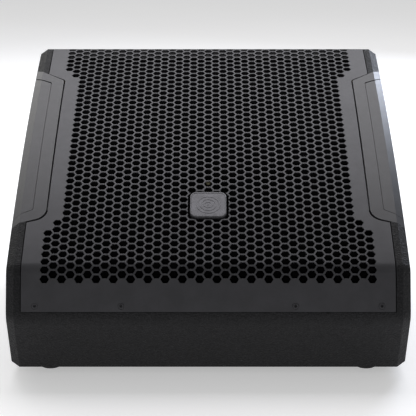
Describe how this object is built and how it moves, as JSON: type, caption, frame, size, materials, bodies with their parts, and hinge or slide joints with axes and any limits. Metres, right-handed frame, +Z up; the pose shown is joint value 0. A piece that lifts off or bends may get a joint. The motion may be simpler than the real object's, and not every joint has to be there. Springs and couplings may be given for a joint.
{
  "type": "stage monitor wedge",
  "caption": "Powered floor wedge: coated plywood cabinet, folded perforated steel grille, side handles, coaxial driver, rear amplifier with controls and rubber feet.",
  "frame": {"origin": "on the floor, under the middle of the cabinet's width and depth", "axes": "+X across the cabinet to the right as seen from the grille side, -Y towards the performer, +Y towards the rear panel, +Z up"},
  "size_m": [0.48, 0.456, 0.3377],
  "materials": {
    "textured_coating": "sprayed textured polyurethane over plywood, matt",
    "plywood": "bare birch plywood",
    "grille_paint": "satin dark grey powder coat",
    "trim_plastic": "satin dark grey moulded plastic",
    "badge_finish": "satin grey",
    "black_foam": "open-cell acoustic foam",
    "wadding": "polyester wadding",
    "rubber": "matt",
    "black_steel": "black zinc and black paint",
    "bright_steel": "zinc plated",
    "ferrite": "sintered ferrite, ground faces",
    "cone_paper": "pressed paper and treated cloth",
    "panel_paint": "black powder coat on aluminium",
    "black_plastic": "moulded, fine texture",
    "green_board": "solder mask",
    "copper_coil": "enamelled copper wire",
    "lens": "clear moulded lens",
    "grey_control": "moulded, satin"
  },
  "bodies": {
    "cabinet": {"amp_board": "green_board", "amp_chassis": "bright_steel", "amp_panel": "panel_paint", "back_panel": "textured_coating", "badge": "badge_finish", "baffle": "plywood", "bottom_panel": "textured_coating", "damping_pad": "wadding", "eq_switch": "bright_steel", "foot_front_left": "rubber", "foot_front_right": "rubber", "foot_rear_left": "rubber", "foot_rear_right": "rubber", "front_panel": "textured_coating", "gain_control": "black_steel", "grille": "grille_paint", "grille_foam": "black_foam", "grille_screw_1": "black_steel", "grille_screw_2": "black_steel", "grille_screw_3": "black_steel", "grille_screw_4": "black_steel", "handle_grip_left": "trim_plastic", "handle_grip_right": "trim_plastic", "handle_trim_left": "trim_plastic", "handle_trim_right": "trim_plastic", "heat_sink": "panel_paint", "hf_body": "black_steel", "hf_cover": "black_steel", "hf_horn": "black_plastic", "input_socket": "black_plastic", "lift_switch": "black_plastic", "link_socket": "black_plastic", "lower_batten": "plywood", "mains_inlet": "black_plastic", "port_tube_left": "black_plastic", "port_tube_right": "black_plastic", "power_board": "green_board", "power_switch": "black_plastic", "side_panel_left": "textured_coating", "side_panel_right": "textured_coating", "status_light": "lens", "top_rail": "textured_coating", "transformer": "copper_coil", "woofer_back_plate": "bright_steel", "woofer_basket": "black_steel", "woofer_gasket": "black_foam", "woofer_magnet": "ferrite", "woofer_spider": "cone_paper", "woofer_surround": "rubber", "woofer_top_plate": "bright_steel"},
    "cone_assembly": {"woofer_cone": "cone_paper", "voice_coil": "copper_coil"},
    "hf_dome": {"hf_diaphragm": "bright_steel"},
    "gain_knob_turning": {"gain_knob": "black_plastic"},
    "eq_slider_moving": {"eq_slider": "grey_control"},
    "lift_button_moving": {"lift_button": "grey_control"},
    "power_rocker_moving": {"power_rocker": "grey_control"},
    "release_tab_moving": {"input_release_tab": "bright_steel"}
  },
  "joints": [
    {"name": "woofer_travel", "type": "slide", "parent": "cabinet", "child": "cone_assembly", "axis": [0, -0.4315, 0.9021], "range_m": [-0.005, 0.005], "stiffness_N_per_m": 5900},
    {"name": "hf_dome_travel", "type": "slide", "parent": "cabinet", "child": "hf_dome", "axis": [0, -0.4315, 0.9021], "range_m": [-0.0003, 0.0003], "stiffness_N_per_m": 4000},
    {"name": "gain_knob_turn", "type": "hinge", "parent": "cabinet", "child": "gain_knob_turning", "pos_m": [0.112, 0.2173, 0.168], "axis": [0, 1, 0], "range_deg": [-150, 150]},
    {"name": "eq_slider_slide", "type": "slide", "parent": "cabinet", "child": "eq_slider_moving", "axis": [-1, 0, 0], "range_m": [0, 0.004]},
    {"name": "lift_button_press", "type": "slide", "parent": "cabinet", "child": "lift_button_moving", "axis": [0, -1, 0], "range_m": [0, 0.0015], "stiffness_N_per_m": 400},
    {"name": "power_rocker_tilt", "type": "hinge", "parent": "cabinet", "child": "power_rocker_moving", "pos_m": [0.098, 0.2143, 0.1], "axis": [-1, 0, 0], "range_deg": [0, 16]},
    {"name": "release_tab_press", "type": "slide", "parent": "cabinet", "child": "release_tab_moving", "axis": [0, -1, 0], "range_m": [0, 0.0015], "stiffness_N_per_m": 400}
  ]
}
